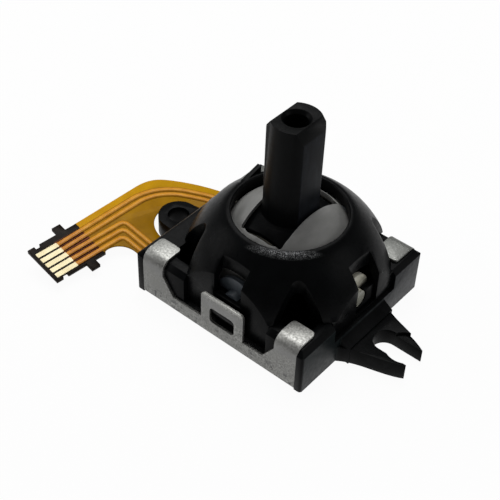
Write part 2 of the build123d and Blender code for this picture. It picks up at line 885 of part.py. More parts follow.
def film_layer(low, high):
    """Long strip of the tail's side view: flat under the base, then rising along -X."""
    far = flex_far - base_height
    rise = (rise_x - far) * tail_slope
    with BuildPart() as layer:
        with BuildSketch(facing_front((0, tail_y - tail_half, 0))):
            with BuildLine():
                Polyline((base_right, low), (rise_x, low), (far, low + rise), (far, high + rise),
                         (rise_x, high), (base_right, high), close=True)
            make_face()
        extrude(amount=-(base_back - tail_y + 2 * tail_half))
    return layer.part


def tail_plane():
    lean = radians(-tail_lean)
    return Plane(origin=(tail_x, tail_y, 0), x_dir=(cos(lean), sin(lean), 0), z_dir=(0, 0, 1))


def tail_end_plan(length):
    """Stiffened end of the tail, with its two locking tabs and two notches."""
    with BuildSketch(tail_plane()) as plan:
        Rectangle(2 * tail_half, length, align=(Align.CENTER, Align.MIN))
        with Locations((0, (tail_tab_low + tail_tab_high) / 2)):
            Rectangle(2 * (tail_half + tail_tab), tail_tab_high - tail_tab_low)
        for side in (-1, 1):
            with Locations((side * tail_half, (tail_notch_low + tail_notch_high) / 2)):
                Rectangle(2 * tail_notch, tail_notch_high - tail_notch_low, mode=Mode.SUBTRACT)
    return plan.sketch


def tail_point(across, along):
    """Point of the leaning tail, in the plan of the whole film."""
    return tuple(tail_plane().from_local_coords((across, along, 0)))[:2]


def flex_plan():
    """The film seen from above: sensor sheet, run around the ear, and the tail."""
    bank = 0.3
    with BuildSketch(origin) as plan:
        with Locations(((wall_left + wall_right) / 2, face_mid)):
            Rectangle(wall_right - wall_left - bank, face_depth - bank)
        with BuildLine():
            start = (wall_left + 1, flex_back)
            shoulder = (shoulder_x, shoulder_y)
            crown = (crown_x, crown_y)
            side = (flex_far, flex_arc_start)
            Line(start, (-base_left, flex_back))
            Spline((-base_left, flex_back), shoulder, crown, side, tangents=((-1, -0.1), (0, -1)))
            Line(side, tail_point(-tail_half, tail_dark - 0.3))
            Line(tail_point(-tail_half, tail_dark - 0.3), tail_point(tail_half, tail_dark - 0.3))
            inner = (flex_inner, flex_front - flex_fillet)
            Line(tail_point(tail_half, tail_dark - 0.3), inner)
            RadiusArc(inner, (flex_inner + flex_fillet, flex_front), flex_fillet)
            Line((flex_inner + flex_fillet, flex_front), (wall_left + 1, flex_front))
            Line((wall_left + 1, flex_front), start)
        make_face()
        add(tail_end_plan(tail_dark))
        cut = round_ear_plan(ear_gap)
        add(cut, mode=Mode.SUBTRACT)
        with Locations((-base_left, ear_y)):
            Rectangle(strip_left, 2 * (ear_root_half + ear_gap), align=(Align.MIN, Align.CENTER),
                      mode=Mode.SUBTRACT)
    return plan.sketch


def between(plan, low, high):
    """The film's shape between two heights, over the given plan."""
    with BuildPart() as piece:
        with BuildSketch(origin):
            add(plan)
        extrude(amount=base_height)
        add(film_layer(low, high), mode=Mode.INTERSECT)
    return piece.part


def make_flex():
    """Polyimide film, its stiffener and the printed carbon tracks."""
    save(between(flex_plan(), sheet, floor), "flex_circuit")
    save(between(tail_end_plan(tail_dark), sheet - stiffener, sheet), "tail_stiffener")
    with BuildPart() as tracks:
        with BuildSketch(origin.offset(floor)):
            with Locations((0, (rail_y() + cavity_half_y) / 2)):
                Rectangle(2 * track_half, track_width)
            with Locations((-(rail_x() + cavity_half_x) / 2, 0)):
                Rectangle(track_width, 2 * track_half)
        extrude(amount=copper / 2)
    save(tracks.part, "carbon_tracks")


def pad_offset(index):
    return pad_shift + (index - 2) * pad_pitch


def make_pads():
    """Five plated contact pads at the end of the tail."""
    with BuildSketch(tail_plane()) as plan:
        for index in range(5):
            with Locations((pad_offset(index), pad_start + pad_length / 2)):
                Rectangle(pad_width, pad_length)
    save(between(plan.sketch, floor, floor + copper), "contact_pads")


def trace_line(index):
    """Centre line of one copper trace from its pad to the base."""
    start = tail_point(pad_offset(index), pad_start + pad_length)
    if index < 2:
        depth = tail_half - 0.05 + pad_offset(index)
        turn = (flex_far + depth, flex_arc_start)
        crown = (crown_x + depth * 0.72, crown_y - depth * 0.7)
        shoulder = (shoulder_x + depth * 0.3, shoulder_y - depth * 0.95)
        end = (-base_left + 0.1, flex_back - depth)
        with BuildLine() as line:
            Line(start, turn)
            Spline(turn, crown, shoulder, end, tangents=((0, 1), (1, 0.1)))
    else:
        level = bend_y - (index - 2) * pad_pitch
        knee = tail_point(pad_offset(index), level - tail_y)
        with BuildLine() as line:
            FilletPolyline(start, (knee[0], level), (-base_left + 0.1, level), radius=trace_bend)
    return line.line


def make_traces():
    """Five copper traces: two follow the outer edge, three turn straight into the base."""
    with BuildSketch(origin) as plan:
        for index in range(5):
            trace(trace_line(index), line_width=trace_width)
    save(between(plan.sketch, floor, floor + copper), "copper_traces")


def make_switch():
    """Ring contact on the film and the stainless snap dome that sits on it."""
    contact = 0.02
    with BuildPart() as ring:
        with BuildSketch(origin.offset(floor)):
            Circle(snap_radius + 0.1)
            Circle(snap_radius - 0.25, mode=Mode.SUBTRACT)
            Circle(0.3)
        extrude(amount=contact)
    save(ring.part, "switch_contacts")
    with BuildPart() as snap:
        with Locations((0, 0, floor + contact)):
            Cone(snap_radius, snap_crown, snap_rise, align=standing)
            Cone(snap_radius - snap_sheet * 2, snap_crown - snap_sheet, snap_rise - snap_sheet,
                 align=standing, mode=Mode.SUBTRACT)
    save(snap.part, "snap_dome")


make_base_frame()
make_bracket()
make_dome()
make_upper_rocker()
make_lower_rocker()
make_stick()
make_pivot_block()
make_spring_washer()
make_return_spring()
make_centring_foot()
make_sliders()
make_flex()
make_pads()
make_traces()
make_switch()
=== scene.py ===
"""Analog stick module of a game controller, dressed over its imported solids."""
from math import cos, radians, sin

import bmesh
import bpy
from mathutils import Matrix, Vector


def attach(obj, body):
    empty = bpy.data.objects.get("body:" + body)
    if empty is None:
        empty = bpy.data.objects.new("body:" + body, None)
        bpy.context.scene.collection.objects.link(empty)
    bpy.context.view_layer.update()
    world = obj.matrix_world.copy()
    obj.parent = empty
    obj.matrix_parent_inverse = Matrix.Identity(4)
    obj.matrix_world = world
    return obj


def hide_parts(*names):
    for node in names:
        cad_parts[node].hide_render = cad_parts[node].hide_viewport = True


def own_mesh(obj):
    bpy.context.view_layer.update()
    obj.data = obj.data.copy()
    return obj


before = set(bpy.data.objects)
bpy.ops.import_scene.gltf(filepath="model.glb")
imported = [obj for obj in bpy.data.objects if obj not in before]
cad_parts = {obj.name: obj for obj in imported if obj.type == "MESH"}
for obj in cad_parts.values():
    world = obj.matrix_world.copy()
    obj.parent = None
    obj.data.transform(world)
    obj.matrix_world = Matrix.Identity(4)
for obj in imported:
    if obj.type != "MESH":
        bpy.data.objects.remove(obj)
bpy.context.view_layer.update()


# Set-up: a white table top with the module lying on it, a large soft box above,
# a weaker one at each side, and a long lens looking down on the front corner.
def placed(name, data):
    """A new object that holds this data, in the scene."""
    made = bpy.data.objects.new(name, data)
    bpy.context.scene.collection.objects.link(made)
    return made


def worked_out(tree, operation, first, second):
    """What a maths node makes of two values, each a number or a socket."""
    node = tree.nodes.new("ShaderNodeMath")
    node.operation = operation
    for end, value in zip(node.inputs, (first, second)):
        if isinstance(value, (int, float)):
            end.default_value = value
        else:
            tree.links.new(value, end)
    return node.outputs[0]


table_half = 2
table_glow = 0.95
room_level = 0.22
lamp_aim = Vector((0, 0, 0.004))
view_tilt = radians(46.873)
view_roll = radians(-1.748)
view_turn = radians(40.328)

table_mesh = bpy.data.meshes.new("table_top")
table_corners = [(x * table_half, y * table_half, 0) for x, y in ((-1, -1), (1, -1), (1, 1), (-1, 1))]
table_mesh.from_pydata(table_corners, [], [(0, 1, 2, 3)])
table_top = placed("table_top", table_mesh)

white_table = bpy.data.materials.new("white_table")
white_table.use_nodes = True
tree = white_table.node_tree
tree.nodes.clear()
lit = tree.nodes.new("ShaderNodeBsdfDiffuse")
lit.inputs["Color"].default_value = (0.86, 0.86, 0.86, 1)
glow = tree.nodes.new("ShaderNodeEmission")
glow.inputs["Strength"].default_value = 1.0
rays = tree.nodes.new("ShaderNodeLightPath")
blend = tree.nodes.new("ShaderNodeMixShader")
surface = tree.nodes.new("ShaderNodeOutputMaterial")
seen = worked_out(tree, "MAXIMUM", rays.outputs["Is Camera Ray"], rays.outputs["Is Glossy Ray"])
seen = worked_out(tree, "MAXIMUM", seen, rays.outputs["Is Transmission Ray"])
tree.links.new(worked_out(tree, "MULTIPLY", seen, table_glow), blend.inputs["Fac"])
tree.links.new(lit.outputs[0], blend.inputs[1])
tree.links.new(glow.outputs[0], blend.inputs[2])
tree.links.new(blend.outputs[0], surface.inputs["Surface"])
table_mesh.materials.append(white_table)

room = bpy.data.worlds.new("studio")
room.use_nodes = True
surround = room.node_tree.nodes["Background"]
surround.inputs["Color"].default_value = (1, 1, 1, 1)
surround.inputs["Strength"].default_value = room_level
bpy.context.scene.world = room

for name, place, size, power in (
    ("soft_box_above", (-0.06, 0.05, 0.16), 0.14, 0.225),
    ("soft_box_left", (-0.14, -0.07, 0.07), 0.09, 0.04),
    ("soft_box_right", (0.13, 0.06, 0.08), 0.09, 0.03),
):
    lamp = bpy.data.lights.new(name, "AREA")
    lamp.shape = "SQUARE"
    lamp.size = size
    lamp.energy = power
    holder = placed(name, lamp)
    holder.location = place
    holder.rotation_euler = (Vector(place) - lamp_aim).to_track_quat("Z", "Y").to_euler()

lens = bpy.data.cameras.new("long_lens")
lens.lens = 82.165
lens.sensor_width = 36
lens.clip_start = 0.002
camera = placed("long_lens", lens)
camera.location = (0.031518, -0.043170, 0.053299)
camera.rotation_euler = (view_tilt, view_roll, view_turn)
bpy.context.scene.camera = camera
bpy.context.scene.view_settings.view_transform = "Standard"


# Steel bracket: one stamping of 0.2 mm stainless strip, bent up at front and
# back, with four hooks folded over the base. Its rolled face is mottled and dull.
def settled(piece):
    """The plain mesh that a piece's modifiers make."""
    depsgraph = bpy.context.evaluated_depsgraph_get()
    return bpy.data.meshes.new_from_object(piece.evaluated_get(depsgraph))


def shaded(mesh, sharp=40):
    """Shade a mesh smooth up to an angle in degrees, past which its edges stay sharp."""
    mesh.polygons.foreach_set("use_smooth", [True] * len(mesh.polygons))
    mesh.set_sharp_from_angle(angle=radians(sharp))


def skin_of(node, edge, sharp=40):
    """A copy of a solid with its triangles joined, its edges rounded and its curves shaded smooth."""
    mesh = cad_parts[node].data.copy()
    mesh.materials.clear()
    work = bmesh.new()
    work.from_mesh(mesh)
    bmesh.ops.remove_doubles(work, verts=work.verts, dist=1e-7)
    bmesh.ops.dissolve_limit(work, angle_limit=radians(0.5), verts=work.verts, edges=work.edges)
    work.to_mesh(mesh)
    work.free()
    rough_cut = placed(node + "_cut", mesh)
    rounding = rough_cut.modifiers.new("rounding", "BEVEL")
    rounding.width = edge
    rounding.segments = 2
    rounding.limit_method = "ANGLE"
    rounding.angle_limit = radians(30)
    rounding.use_clamp_overlap = True
    finished = settled(rough_cut)
    bpy.data.objects.remove(rough_cut)
    finished.name = node + "_skin"
    shaded(finished, sharp)
    return placed(node + "_skin", finished)


def finish(name, colour, roughness, metallic=0.0):
    """A new material with its shader, ready for its own pattern."""
    made = bpy.data.materials.new(name)
    made.use_nodes = True
    shader = made.node_tree.nodes["Principled BSDF"]
    shader.inputs["Base Color"].default_value = (*colour, 1)
    shader.inputs["Roughness"].default_value = roughness
    shader.inputs["Metallic"].default_value = metallic
    return made, made.node_tree, shader


def grain(tree, scale, detail=3.0, stretch=(1, 1, 1)):
    """Noise fixed to the piece, in features per metre."""
    place = tree.nodes.new("ShaderNodeTexCoord")
    turn = tree.nodes.new("ShaderNodeMapping")
    turn.inputs["Scale"].default_value = stretch
    noise = tree.nodes.new("ShaderNodeTexNoise")
    noise.inputs["Scale"].default_value = scale
    noise.inputs["Detail"].default_value = detail
    tree.links.new(place.outputs["Object"], turn.inputs["Vector"])
    tree.links.new(turn.outputs["Vector"], noise.inputs["Vector"])
    return noise.outputs["Fac"]


def spread(tree, value, low, high, from_low=0.3, from_high=0.7):
    """The value mapped to a range."""
    fit = tree.nodes.new("ShaderNodeMapRange")
    fit.inputs["From Min"].default_value = from_low
    fit.inputs["From Max"].default_value = from_high
    fit.inputs["To Min"].default_value = low
    fit.inputs["To Max"].default_value = high
    tree.links.new(value, fit.inputs["Value"])
    return fit.outputs["Result"]


def along(tree, direction, start, end):
    """Rises from 0 to 1 between two distances from the origin, measured along a direction on the piece."""
    place = tree.nodes.new("ShaderNodeTexCoord")
    reach = tree.nodes.new("ShaderNodeVectorMath")
    reach.operation = "DOT_PRODUCT"
    reach.inputs[1].default_value = direction
    tree.links.new(place.outputs["Object"], reach.inputs[0])
    return spread(tree, reach.outputs["Value"], 0, 1, start, end)


def times(tree, first, second):
    """Product of two values."""
    return worked_out(tree, "MULTIPLY", first, second)


def tint(tree, value, low, high):
    """Two colours, or what two sockets give, mixed by a value."""
    ramp = tree.nodes.new("ShaderNodeMix")
    ramp.data_type = "RGBA"
    for name, colour in (("A", low), ("B", high)):
        if isinstance(colour, tuple):
            ramp.inputs[name].default_value = (*colour, 1)
        else:
            tree.links.new(colour, ramp.inputs[name])
    tree.links.new(value, ramp.inputs["Factor"])
    return ramp.outputs["Result"]


def mottled(tree, value, low, high, from_low=0.3, from_high=0.7):
    """Two colours, or what two sockets give, mixed as a noise wanders."""
    return tint(tree, spread(tree, value, 0, 1, from_low, from_high), low, high)


def relief(tree, shader, value, height):
    """Bump of the given height in metres."""
    bump = tree.nodes.new("ShaderNodeBump")
    bump.inputs["Distance"].default_value = height
    tree.links.new(value, bump.inputs["Height"])
    tree.links.new(bump.outputs["Normal"], shader.inputs["Normal"])


def dress(piece, material, node, body):
    """Give a skin its material and put it in place of its solid."""
    piece.data.materials.clear()
    piece.data.materials.append(material)
    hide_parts(node)
    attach(piece, body)


up = (0, 0, 1)
painted_light_side = (0.4, -0.92, 0)
shade_to_light = (-0.004, 0.0065)
wall_to_hook = (0.0031, 0.00345)
bend_starts = (0.0021, 0.0026)
bend_ends = (0.0031, 0.0027)
nicked_below = (0.0012, 0.0006)

rolled_steel, tree, shader = finish("rolled_steel", (0.4, 0.4, 0.39), 0.45, 0.75)
mottle = grain(tree, 8000, 6)
walls = mottled(tree, mottle, (0.13, 0.13, 0.124), (0.32, 0.32, 0.305), 0.38, 0.62)
duller = mottled(tree, grain(tree, 700, 2), walls, (0.2, 0.2, 0.19))
# Painted highlight: the hook tops are painted lighter than the walls. They are brightest towards the front
# right and grade to painted shade at the back. bend_shade is a painted shadow band just under the bends.
painted_highlight_tops = mottled(tree, mottle, (0.34, 0.34, 0.32), (0.62, 0.62, 0.59), 0.36, 0.64)
tops_lit_front_shaded_back = tint(tree, along(tree, painted_light_side, *shade_to_light), (0.15, 0.155, 0.145), painted_highlight_tops)
walls_and_lit_tops = tint(tree, along(tree, up, *wall_to_hook), duller, tops_lit_front_shaded_back)
bend_shade = times(tree, along(tree, up, *bend_starts), along(tree, up, *bend_ends))
below_bend = tint(tree, bend_shade, walls_and_lit_tops, (0.2, 0.2, 0.195))
few_spots = spread(tree, grain(tree, 2600, 2), 0, 1, 0.6, 0.64)
nicks = times(tree, few_spots, along(tree, up, *nicked_below))
tree.links.new(tint(tree, nicks, below_bend, (0.08, 0.08, 0.08)), shader.inputs["Base Color"])
tree.links.new(spread(tree, grain(tree, 9000, 3), 0.36, 0.58), shader.inputs["Roughness"])
relief(tree, shader, mottle, 0.000012)
dress(skin_of("bottom_bracket", 0.00004), rolled_steel, "bottom_bracket", "base")


# Base frame: glass-filled nylon, moulded in one with its ears and bearings.
# Nearly black with a fine satin skin, and paler bluish grey in patches on the end face by the fork, more so
# towards the back.
def black_moulding(name, level, low, high):
    """Black nylon whose colour and gloss wander slightly."""
    made, tree, shader = finish(name, (level, level, level), 0.4)
    shader.inputs["Specular IOR Level"].default_value = 0.05
    dark = (level * 0.7, level * 0.8, level * 0.9)
    light = (level * 1.3, level * 1.5, level * 1.7)
    black = mottled(tree, grain(tree, 900, 4), dark, light)
    tree.links.new(black, shader.inputs["Base Color"])
    tree.links.new(spread(tree, grain(tree, 3500, 5), low, high), shader.inputs["Roughness"])
    relief(tree, shader, grain(tree, 14000, 2), 0.000004)
    return made, tree, shader, black


to_right = (1, 0, 0)
to_back = (0, 1, 0)
end_starts = (0.00632, 0.00635)
end_stops = (0.00645, 0.0064)
paler_towards_back = (-0.001, 0.005)

base_nylon, tree, shader, black = black_moulding("base_nylon", 0.0018, 0.3, 0.42)
paler_end_grey = tint(tree, along(tree, to_back, *paler_towards_back), (0.012, 0.016, 0.017), (0.06, 0.062, 0.066))
end_face = times(tree, along(tree, to_right, *end_starts), along(tree, to_right, *end_stops))
paler_end_patches = times(tree, end_face, spread(tree, grain(tree, 3000, 4), 0.5, 1))
tree.links.new(tint(tree, paler_end_patches, black, paler_end_grey), shader.inputs["Base Color"])
dress(skin_of("base_frame", 0.00006), base_nylon, "base_frame", "base")


# Flexible circuit: 0.1 mm amber polyimide film over copper, glued to a dark
# stiffener at its end. Its outer band is golden, where no copper lies behind it.
rise_start = -0.0085
rise_rate = 0.2
film_top = 0.0003
foil = 0.00003
tail_lean = radians(4.5)
tail_foot = Vector((-0.01247, -0.00993, 0))
tail_across = Vector((cos(tail_lean), -sin(tail_lean), 0))
tail_along = Vector((sin(tail_lean), cos(tail_lean), 0))
tail_middle = tail_across.dot(tail_foot)
end_line = tail_along.dot(tail_foot)
dark_length = 0.00404
dark_from = end_line + dark_length
dark_fade = 0.00003
red_half = 0.00108
red_fade = 0.00005
pads_stop = (0.0018, 0.0019)
to_left = (-1, 0, 0)
to_front = (0, -1, 0)
to_back_left = (-0.6, 0.78, 0)
gold_brightens = (-0.0015, 0.004)
side_band = (0.01235, 0.01285)
back_band = (0.0079, 0.0085)
inside_base = (-0.0074, -0.0066)

amber_film, tree, shader = finish("amber_film", (0.5, 0.25, 0.02), 0.32)
shader.inputs["Specular IOR Level"].default_value = 0.06
haze = grain(tree, 700, 4)
amber = mottled(tree, haze, (0.29, 0.135, 0.001), (0.41, 0.2, 0.002))
crown_gold = mottled(tree, haze, (0.5, 0.255, 0.002), (0.62, 0.32, 0.004))
tail_gold = mottled(tree, haze, (0.58, 0.28, 0.003), (0.7, 0.35, 0.005))
side_gold = tint(tree, along(tree, to_front, *gold_brightens), crown_gold, tail_gold)
with_side = tint(tree, along(tree, to_left, *side_band), amber, side_gold)
banded = tint(tree, along(tree, to_back_left, *back_band), with_side, crown_gold)
outside_end = tint(tree, along(tree, to_right, *inside_base), banded, (0.01, 0.008, 0.005))
dark_end = mottled(tree, grain(tree, 2500, 4), (0.004, 0.0022, 0.001), (0.013, 0.007, 0.003))
from_left = along(tree, tail_across, tail_middle - red_half, tail_middle - red_half + red_fade)
from_right = along(tree, tail_across, tail_middle + red_half, tail_middle + red_half - red_fade)
past_pads = along(tree, tail_along, end_line + pads_stop[0], end_line + pads_stop[1])
among_traces = times(tree, times(tree, from_left, from_right), past_pads)
red_gaps = tint(tree, among_traces, dark_end, (0.2, 0.045, 0.01))
over_dark = along(tree, tail_along, dark_from + dark_fade, dark_from - dark_fade)
film_colour = tint(tree, over_dark, outside_end, red_gaps)
tree.links.new(film_colour, shader.inputs["Base Color"])
tree.links.new(spread(tree, grain(tree, 1800, 3), 0.25, 0.4), shader.inputs["Roughness"])
relief(tree, shader, grain(tree, 1200, 3), 0.000006)
dress(skin_of("flex_circuit", 0.00002), amber_film, "flex_circuit", "base")

laminate, tree, shader = finish("brown_laminate", (0.03, 0.018, 0.01), 0.5)
shader.inputs["Specular IOR Level"].default_value = 0.2
weave = grain(tree, 5000, 2, (1, 0.2, 1))
brown = mottled(tree, weave, (0.012, 0.007, 0.004), (0.035, 0.02, 0.012))
tree.links.new(brown, shader.inputs["Base Color"])
relief(tree, shader, weave, 0.000006)
dress(skin_of("tail_stiffener", 0.00003), laminate, "tail_stiffener", "base")


# Copper: five traces etched from foil under the film, each laid along its path
# with a thin brown strip of painted shade beside it, and five plated pads at the connector end.
def growing_tree(name, sizes, output):
    """A geometry tree with named inputs and one output, still empty between them."""
    tree = bpy.data.node_groups.new(name, "GeometryNodeTree")
    names = {}
    for label, kind, value in sizes:
        made = tree.interface.new_socket(label, in_out="INPUT", socket_type="NodeSocket" + kind)
        if value is not None:
            made.default_value = value
        names[label] = made.identifier
    tree.interface.new_socket(output, in_out="OUTPUT", socket_type="NodeSocketGeometry")
    return tree, names, tree.nodes.new("NodeGroupInput"), tree.nodes.new("NodeGroupOutput")


def climb(tree, geometry, given):
    """Lift what lies beyond the start of the tail's slope onto it."""
    place = tree.nodes.new("GeometryNodeInputPosition")
    parts = tree.nodes.new("ShaderNodeSeparateXYZ")
    lift = tree.nodes.new("ShaderNodeCombineXYZ")
    moved = tree.nodes.new("GeometryNodeSetPosition")
    tree.links.new(place.outputs[0], parts.inputs[0])
    beyond = worked_out(tree, "SUBTRACT", given.outputs["Slope Start"], parts.outputs["X"])
    height = times(tree, worked_out(tree, "MAXIMUM", beyond, 0), given.outputs["Slope"])
    tree.links.new(height, lift.inputs["Z"])
    tree.links.new(geometry, moved.inputs["Geometry"])
    tree.links.new(lift.outputs[0], moved.inputs["Offset"])
    return moved.outputs["Geometry"]


def laid_strip():
    """Tree that lays flat strips along paths and lets them climb the tail's slope."""
    tree, names, given, result = growing_tree("laid_strip", (
        ("Path", "Geometry", None),
        ("Width", "Float", trace_width),
        ("Thickness", "Float", foil),
        ("Level", "Float", film_top),
        ("Knee", "Float", inner_knee),
        ("Slope", "Float", rise_rate),
        ("Slope Start", "Float", rise_start),
        ("Finish", "Material", None),
    ), "Strips")
    line = tree.nodes.new("GeometryNodeMeshToCurve")
    knees = tree.nodes.new("GeometryNodeFilletCurve")
    knees.mode = "POLY"
    knees.inputs["Count"].default_value = 6
    knees.inputs["Limit Radius"].default_value = True
    fine = tree.nodes.new("GeometryNodeResampleCurve")
    fine.mode = "LENGTH"
    fine.inputs["Length"].default_value = 0.00025
    section = tree.nodes.new("GeometryNodeCurvePrimitiveQuadrilateral")
    sweep = tree.nodes.new("GeometryNodeCurveToMesh")
    sweep.inputs["Fill Caps"].default_value = True
    raised = tree.nodes.new("GeometryNodeSetPosition")
    lift = tree.nodes.new("ShaderNodeCombineXYZ")
    real = tree.nodes.new("GeometryNodeRealizeInstances")
    coat = tree.nodes.new("GeometryNodeSetMaterial")
    tree.links.new(given.outputs["Path"], line.inputs["Mesh"])
    tree.links.new(line.outputs["Curve"], knees.inputs["Curve"])
    tree.links.new(given.outputs["Knee"], knees.inputs["Radius"])
    tree.links.new(knees.outputs["Curve"], fine.inputs["Curve"])
    tree.links.new(given.outputs["Width"], section.inputs["Width"])
    tree.links.new(given.outputs["Thickness"], section.inputs["Height"])
    tree.links.new(fine.outputs["Curve"], sweep.inputs["Curve"])
    tree.links.new(section.outputs["Curve"], sweep.inputs["Profile Curve"])
    tree.links.new(given.outputs["Level"], lift.inputs["Z"])
    tree.links.new(sweep.outputs["Mesh"], raised.inputs["Geometry"])
    tree.links.new(lift.outputs[0], raised.inputs["Offset"])
    tree.links.new(climb(tree, raised.outputs["Geometry"], given), real.inputs["Geometry"])
    tree.links.new(real.outputs["Geometry"], coat.inputs["Geometry"])
    tree.links.new(given.outputs["Finish"], coat.inputs["Material"])
    tree.links.new(coat.outputs["Geometry"], result.inputs["Strips"])
    return tree, names


def grown(name, points, edges, tree, names, values):
    """A plain mesh grown by a tree from a few points and lines."""
    seed = bpy.data.meshes.new(name + "_seed")
    seed.from_pydata(points, edges, [])
    holder = placed(name + "_seed", seed)
    maker = holder.modifiers.new(name, "NODES")
    maker.node_group = tree
    for label, value in values.items():
        maker[names[label]] = value
    mesh = settled(holder)
    bpy.data.objects.remove(holder)
    mesh.name = name
    return placed(name, mesh)


def on_tail(across, along_tail):
    """A point of the leaning tail, in plan."""
    return tail_foot + tail_across * across + tail_along * along_tail


pitch = 0.00049
trace_count = 5
middle_trace = 2
outer_count = 2
trace_width = 0.00029
shade_width = 0.00044
shade_thickness = foil * 0.4
outer_knee = 0.005
inner_knee = 0.0004
pad_shift = 0.0002
pad_middle = 0.00106
pad_end = 0.00192
strip_end = -0.0072
inner_level = -0.0031
edge_depth = 0.001475
copper_fade = 0.0001
# Points of the film's outer edge in plan, each with the way inwards from it.
outer_edge = (
    ((-0.01346, -0.0004), (1, 0)),
    ((-0.01235, 0.0021), (0.72, -0.7)),
    ((-0.00945, 0.0041), (0.3, -0.95)),
    ((strip_end, 0.00475), (0, -1)),
)

routes = []
for index in range(trace_count):
    offset = pad_shift + (index - middle_trace) * pitch
    route = [on_tail(offset, pad_end)]
    if index < outer_count:
        depth = edge_depth + offset
        for (x, y), (in_x, in_y) in outer_edge:
            route.append(Vector((x + depth * in_x, y + depth * in_y, 0)))
    else:
        level = inner_level - (index - outer_count) * pitch
        knee = on_tail(offset, level - tail_foot.y)
        route += [Vector((knee.x, level, 0)), Vector((strip_end, level, 0))]
    routes.append(route)

copper, tree, shader = finish("orange_copper", (0.7, 0.32, 0.05), 0.34)
shader.inputs["Specular IOR Level"].default_value = 0.25
over_dark = along(tree, tail_along, dark_from, dark_from - copper_fade)
bright = mottled(tree, grain(tree, 1600, 4), (0.66, 0.27, 0.018), (0.8, 0.37, 0.035))
deeper = mottled(tree, grain(tree, 1600, 4), (0.6, 0.23, 0.03), (0.76, 0.33, 0.06))
tree.links.new(tint(tree, over_dark, bright, deeper), shader.inputs["Base Color"])
relief(tree, shader, grain(tree, 2600, 3), 0.000005)

# Painted shade: a brown strip, wider than the trace, is laid beside each trace. It is darkest over the
# stiffener.
painted_trace_shade, tree, shader = finish("painted_trace_shade", (0.25, 0.1, 0.01), 0.4)
shader.inputs["Specular IOR Level"].default_value = 0.2
over_dark = along(tree, tail_along, dark_from, dark_from - copper_fade)
brown = mottled(tree, grain(tree, 1600, 4), (0.36, 0.15, 0.003), (0.44, 0.19, 0.005))
tree.links.new(tint(tree, over_dark, brown, (0.03, 0.007, 0.002)), shader.inputs["Base Color"])

strip_tree, strip_inputs = laid_strip()
for name, chosen, knee in (
    ("outer", routes[:outer_count], outer_knee),
    ("inner", routes[outer_count:], inner_knee),
):
    points = []
    edges = []
    for route in chosen:
        edges += [(len(points) + step, len(points) + step + 1) for step in range(len(route) - 1)]
        points += [tuple(point) for point in route]
    for kind, width, thickness, material in (
        ("_copper_traces", trace_width, foil, copper),
        ("_painted_trace_shades", shade_width, shade_thickness, painted_trace_shade),
    ):
        values = {
            "Width": width,
            "Thickness": thickness,
            "Level": film_top + thickness / 2,
            "Knee": knee,
            "Finish": material,
        }
        strips = grown(name + kind, points, edges, strip_tree, strip_inputs, values)
        dress(strips, material, "copper_traces", "base")


def pad_row():
    """Tree that sets a row of rounded pads a pitch apart on the tail's slope."""
    tree, names, given, result = growing_tree("pad_row", (
        ("Middle", "Geometry", None),
        ("Count", "Int", trace_count),
        ("Width", "Float", 0.00034),
        ("Length", "Float", 0.00172),
        ("Corner", "Float", 0.00003),
        ("Thickness", "Float", foil),
        ("Pitch", "Vector", (0, 0, 0)),
        ("Turn", "Vector", (0, 0, 0)),
        ("Slope", "Float", rise_rate),
        ("Slope Start", "Float", rise_start),
        ("Finish", "Material", None),
    ), "Pads")
    copies = tree.nodes.new("GeometryNodeDuplicateElements")
    copies.domain = "POINT"
    steps = tree.nodes.new("ShaderNodeVectorMath")
    steps.operation = "SCALE"
    spaced = tree.nodes.new("GeometryNodeSetPosition")
    outline = tree.nodes.new("GeometryNodeCurvePrimitiveQuadrilateral")
    corners = tree.nodes.new("GeometryNodeFilletCurve")
    corners.mode = "POLY"
    corners.inputs["Count"].default_value = 3
    sheet = tree.nodes.new("GeometryNodeFillCurve")
    sheet.mode = "NGONS"
    thick = tree.nodes.new("GeometryNodeExtrudeMesh")
    thick.inputs["Individual"].default_value = False
    turned_over = tree.nodes.new("GeometryNodeFlipFaces")
    both = tree.nodes.new("GeometryNodeJoinGeometry")
    sealed = tree.nodes.new("GeometryNodeMergeByDistance")
    sealed.inputs["Distance"].default_value = 1e-7
    rows = tree.nodes.new("GeometryNodeInstanceOnPoints")
    real = tree.nodes.new("GeometryNodeRealizeInstances")
    coat = tree.nodes.new("GeometryNodeSetMaterial")
    tree.links.new(given.outputs["Middle"], copies.inputs["Geometry"])
    tree.links.new(given.outputs["Count"], copies.inputs["Amount"])
    tree.links.new(given.outputs["Pitch"], steps.inputs[0])
    tree.links.new(copies.outputs["Duplicate Index"], steps.inputs["Scale"])
    tree.links.new(copies.outputs["Geometry"], spaced.inputs["Geometry"])
    tree.links.new(steps.outputs[0], spaced.inputs["Offset"])
    tree.links.new(given.outputs["Width"], outline.inputs["Width"])
    tree.links.new(given.outputs["Length"], outline.inputs["Height"])
    tree.links.new(outline.outputs["Curve"], corners.inputs["Curve"])
    tree.links.new(given.outputs["Corner"], corners.inputs["Radius"])
    tree.links.new(corners.outputs["Curve"], sheet.inputs["Curve"])
    tree.links.new(sheet.outputs["Mesh"], thick.inputs["Mesh"])
    tree.links.new(given.outputs["Thickness"], thick.inputs["Offset Scale"])
    tree.links.new(sheet.outputs["Mesh"], turned_over.inputs["Mesh"])
    tree.links.new(turned_over.outputs["Mesh"], both.inputs["Geometry"])
    tree.links.new(thick.outputs["Mesh"], both.inputs["Geometry"])
    tree.links.new(both.outputs["Geometry"], sealed.inputs["Geometry"])
    tree.links.new(spaced.outputs["Geometry"], rows.inputs["Points"])
    tree.links.new(sealed.outputs["Geometry"], rows.inputs["Instance"])
    tree.links.new(given.outputs["Turn"], rows.inputs["Rotation"])
    tree.links.new(rows.outputs["Instances"], real.inputs["Geometry"])
    tree.links.new(climb(tree, real.outputs["Geometry"], given), coat.inputs["Geometry"])
    tree.links.new(given.outputs["Finish"], coat.inputs["Material"])
    tree.links.new(coat.outputs["Geometry"], result.inputs["Pads"])
    return tree, names


